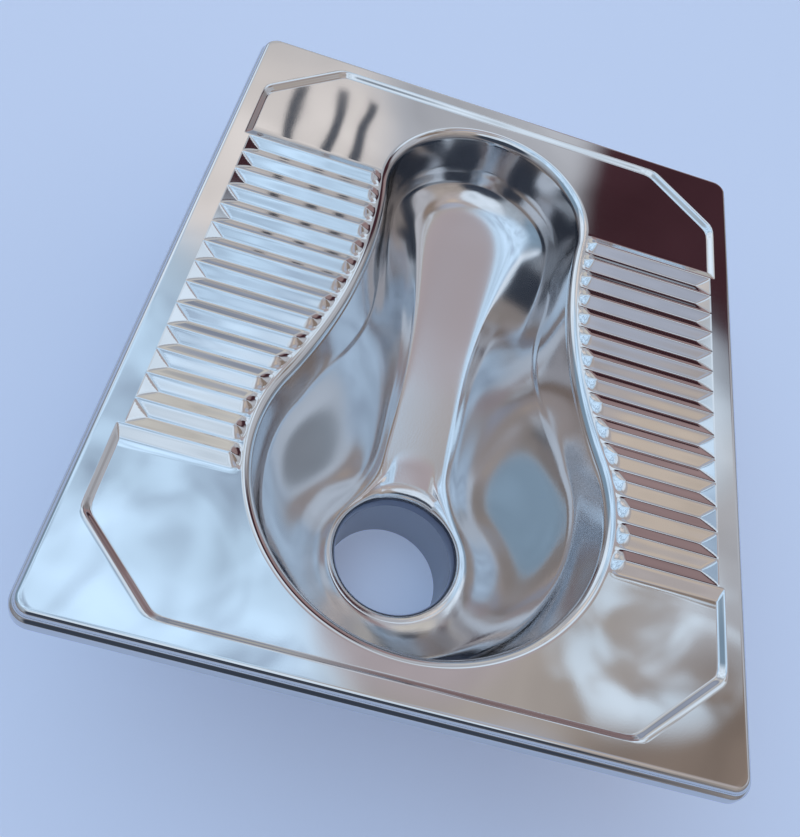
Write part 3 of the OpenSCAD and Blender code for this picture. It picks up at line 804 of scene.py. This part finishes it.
# a field of the studio: its direction, the cosines between which it fades in, its colour;
# a later field covers an earlier one
FAR_FIELDS = (
    ((0.07, 0.80, 0.60), 0.955, 0.99, GREY_PANEL),
    ((-0.16, 0.74, 0.65), 0.983, 0.993, WARM_PANEL),
)
FLAG_STRIPS = (-0.112, -0.070, -0.036)
STRIP_HALF, STRIP_LOW, STRIP_HIGH = 0.006, 0.61, 0.69
FIELDS = (
    ((0.44, 0.73, 0.53), 0.966, 0.976, MAROON_FLAG),
    ((0.75, 0.30, 0.58), 0.88, 0.95, GREY_PANEL),
    ((0.56, 0.13, 0.82), 0.962, 0.985, BROWN_FLAG),
    ((-0.10, 0.97, 0.22), 0.90, 0.96, GREY_PANEL),
    ((-0.12, 0.94, 0.34), 0.975, 0.992, CREAM_PANEL),
    ((-0.09, 0.985, 0.12), 0.984, 0.996, SLATE_FLAG),
    ((0.37, 0.91, 0.18), 0.94, 0.98, RED_FLAG),
    ((0.36, -0.12, 0.93), 0.93, 0.98, PALE_PANEL),
    ((0.40, -0.14, 0.905), 0.994, 0.998, GOLD_PANEL),
    ((0.30, 0.10, 0.95), 0.986, 0.996, COOL_PANEL),
    ((-0.60, 0.66, 0.45), 0.94, 0.98, COOL_SOFTBOX),
    ((-0.89, 0.10, 0.42), 0.89, 0.975, TEAL_FLAG),
    ((0.02, -0.84, 0.54), 0.84, 0.94, DARK_FLAG),
    ((-0.12, -0.33, 0.94), 0.94, 0.98, PALE_SOFTBOX),
    ((0.14, -0.43, 0.89), 0.965, 0.986, PALE_SOFTBOX),
    ((0.05, 0.58, 0.81), 0.986, 0.995, PALE_SOFTBOX),
    ((0.32, 0.57, 0.75), 0.986, 0.995, PALE_SOFTBOX),
)
BROKEN_SOFTBOX = ((0.41, 0.36, 0.835), 0.992, 0.997)
OVERHEAD_FIELD = ((-0.36, 0.22, 0.905), 0.86, 0.93)
LAST_FIELDS = (((0.17, 0.38, 0.91), 0.989, 0.996, MAUVE_PANEL),)


def add_photo_camera():
    """Camera above the drain end, at the photograph's angle."""
    data = bpy.data.cameras.new("photo_camera")
    data.sensor_fit = "VERTICAL"
    data.sensor_height = 36.0
    data.lens = 36.278
    data.clip_end = 20.0
    camera = bpy.data.objects.new("photo_camera", data)
    bpy.context.scene.collection.objects.link(camera)
    right = Vector((0.957136, 0.178909, 0.227775))
    up = Vector((-0.273158, 0.819070, 0.504488))
    back = Vector((-0.096306, -0.545083, 0.832832))
    place = Vector((-86.025, -385.824, 466.817 + DECK_TOP)) * MM
    turn = Matrix((right, up, back)).transposed().to_4x4()
    camera.matrix_world = Matrix.Translation(place) @ turn
    bpy.context.scene.camera = camera


def add_floor():
    mesh = bpy.data.meshes.new("floor")
    signs = ((-1, -1), (1, -1), (1, 1), (-1, 1))
    corners = [(x * FLOOR_REACH, y * FLOOR_REACH, FLOOR_Z) for x, y in signs]
    mesh.from_pydata(corners, [], [(0, 1, 2, 3)])
    floor = bpy.data.objects.new("floor", mesh)
    bpy.context.scene.collection.objects.link(floor)
    shade = Shade("pale_floor")
    shade.shader.inputs["Base Color"].default_value = (*FLOOR_COLOR, 1)
    shade.shader.inputs["Roughness"].default_value = 0.9
    shade.shader.inputs["Emission Color"].default_value = (*FLOOR_GLOW, 1)
    shade.glow_where_seen(GLOW_STRENGTH)
    mesh.materials.append(shade.material)


class Sky:
    """Short-hand for the studio's colours by direction."""

    def __init__(self):
        world = bpy.data.worlds.new("studio")
        bpy.context.scene.world = world
        world.use_nodes = True
        self.tree = world.node_tree
        self.back = self.tree.nodes["Background"]
        self.way = self.tree.nodes.new("ShaderNodeTexCoord").outputs["Generated"]

    def toward(self, aim, start, end):
        """0 to 1 as the direction turns towards aim, between two cosines."""
        dot = self.tree.nodes.new("ShaderNodeVectorMath")
        dot.operation = "DOT_PRODUCT"
        self.tree.links.new(self.way, dot.inputs[0])
        dot.inputs[1].default_value = Vector(aim).normalized()
        ranged = self.tree.nodes.new("ShaderNodeMapRange")
        ranged.interpolation_type = "SMOOTHSTEP"
        self.tree.links.new(dot.outputs["Value"], ranged.inputs["Value"])
        ranged.inputs["From Min"].default_value = start
        ranged.inputs["From Max"].default_value = end
        return ranged.outputs[0]

    def strip(self, across, half, low, high):
        """1 inside an upright strip beyond the narrow end."""
        parts = self.tree.nodes.new("ShaderNodeSeparateXYZ")
        self.tree.links.new(self.way, parts.inputs[0])
        offset = self.math("ABSOLUTE", self.math("SUBTRACT", parts.outputs["X"], across))
        inside = self.math("LESS_THAN", offset, half)
        inside = self.math("MULTIPLY", inside, self.math("GREATER_THAN", parts.outputs["Z"], low))
        inside = self.math("MULTIPLY", inside, self.math("LESS_THAN", parts.outputs["Z"], high))
        return self.math("MULTIPLY", inside, self.math("GREATER_THAN", parts.outputs["Y"], 0.0))

    def math(self, operation, first, second=None):
        node = self.tree.nodes.new("ShaderNodeMath")
        node.operation = operation
        for socket, value in zip(node.inputs, (first, second)):
            if isinstance(value, bpy.types.NodeSocket):
                self.tree.links.new(value, socket)
            elif value is not None:
                socket.default_value = value
        return node.outputs[0]

    def cloud(self, scale, low, high, reach=(0.3, 0.7)):
        """Soft patches between two values; reach is the part of the noise that is spread."""
        noise = self.tree.nodes.new("ShaderNodeTexNoise")
        noise.inputs["Scale"].default_value = scale
        noise.inputs["Detail"].default_value = 3.0
        noise.inputs["Distortion"].default_value = 1.5
        self.tree.links.new(self.way, noise.inputs["Vector"])
        ranged = self.tree.nodes.new("ShaderNodeMapRange")
        self.tree.links.new(noise.outputs["Fac"], ranged.inputs["Value"])
        ranged.inputs["From Min"].default_value = reach[0]
        ranged.inputs["From Max"].default_value = reach[1]
        ranged.inputs["To Min"].default_value = low
        ranged.inputs["To Max"].default_value = high
        return ranged.outputs[0]

    def show_backdrop(self, color):
        """A plain pale backdrop for the camera and for low reflections in the steel."""
        plain = self.tree.nodes.new("ShaderNodeBackground")
        plain.inputs["Color"].default_value = (*color, 1)
        path = self.tree.nodes.new("ShaderNodeLightPath").outputs
        low = self.math("SUBTRACT", 1.0, self.toward((0, 0, 1), 0.0, LOW_BAND))
        seen = self.math("MULTIPLY", path["Is Glossy Ray"], low)
        seen = self.math("MAXIMUM", seen, path["Is Transmission Ray"])
        seen = self.math("MAXIMUM", seen, path["Is Camera Ray"])
        choice = self.tree.nodes.new("ShaderNodeMixShader")
        self.tree.links.new(seen, choice.inputs[0])
        self.tree.links.new(self.back.outputs[0], choice.inputs[1])
        self.tree.links.new(plain.outputs[0], choice.inputs[2])
        surface = self.tree.nodes["World Output"].inputs["Surface"]
        self.tree.links.new(choice.outputs[0], surface)

    def mix(self, share, under, over):
        mix = self.tree.nodes.new("ShaderNodeMix")
        mix.data_type = "RGBA"
        self.tree.links.new(share, mix.inputs[0])
        for socket, value in ((mix.inputs[6], under), (mix.inputs[7], over)):
            if isinstance(value, bpy.types.NodeSocket):
                self.tree.links.new(value, socket)
            else:
                socket.default_value = (*value, 1)
        return mix.outputs[2]

    def lay(self, color, fields):
        """Lays fields of colour over what is there."""
        for aim, start, end, over in fields:
            color = self.mix(self.toward(aim, start, end), color, over)
        return color


def light_studio():
    """Bright overhead on the left of the pan, warm on the right, with dark flags low down."""
    sky = Sky()
    side = sky.mix(sky.toward((-1, 0, 0), *SIDE_FADE), WARM_SIDE, COOL_SIDE)
    color = sky.mix(sky.toward((0, 0, 1), *LOW_FADE), LOW_SIDE, side)
    color = sky.lay(color, FAR_FIELDS)
    for across in FLAG_STRIPS:
        color = sky.mix(sky.strip(across, STRIP_HALF, STRIP_LOW, STRIP_HIGH), color, DARK_FLAG)
    color = sky.lay(color, FIELDS)
    broken = sky.cloud(scale=8.0, low=0.0, high=1.0, reach=(0.45, 0.58))
    broken = sky.math("MULTIPLY", sky.toward(*BROKEN_SOFTBOX), broken)
    color = sky.mix(broken, color, PALE_SOFTBOX)
    overhead = sky.toward(*OVERHEAD_FIELD)
    color = sky.mix(overhead, color, OVERHEAD)
    shaded = sky.cloud(scale=6.0, low=0.0, high=0.75, reach=(0.48, 0.66))
    color = sky.mix(sky.math("MULTIPLY", overhead, shaded), color, OVERHEAD_SHADE)
    color = sky.lay(color, LAST_FIELDS)
    sky.tree.links.new(color, sky.back.inputs["Color"])
    strength = sky.cloud(scale=5.0, low=1.20, high=1.72)
    sky.tree.links.new(strength, sky.back.inputs["Strength"])
    sky.show_backdrop(BACKDROP)


# ---------------------------------------------------------------- the object
add_photo_camera()
add_floor()
light_studio()
finishes = {name: steel(name, *look) for name, look in STEELS.items()}
finishes["bitumen_pad"] = bitumen()
slots = {entry["node"]: entry["material_slot"] for entry in frame["record"]["subparts"]}
for node_name, node in frame["nodes"].items():
    node.data.materials.clear()
    node.data.materials.append(finishes[slots[node_name]])

deck = build_deck()
press_ribs(deck, finishes["polished_steel"])
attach(deck, "root")
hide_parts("deck")

bowl = build_bowl()
bowl.data.materials.append(finishes["satin_steel"])
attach(bowl, "root")
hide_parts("bowl")

scene = bpy.context.scene
scene.view_settings.view_transform = "Standard"
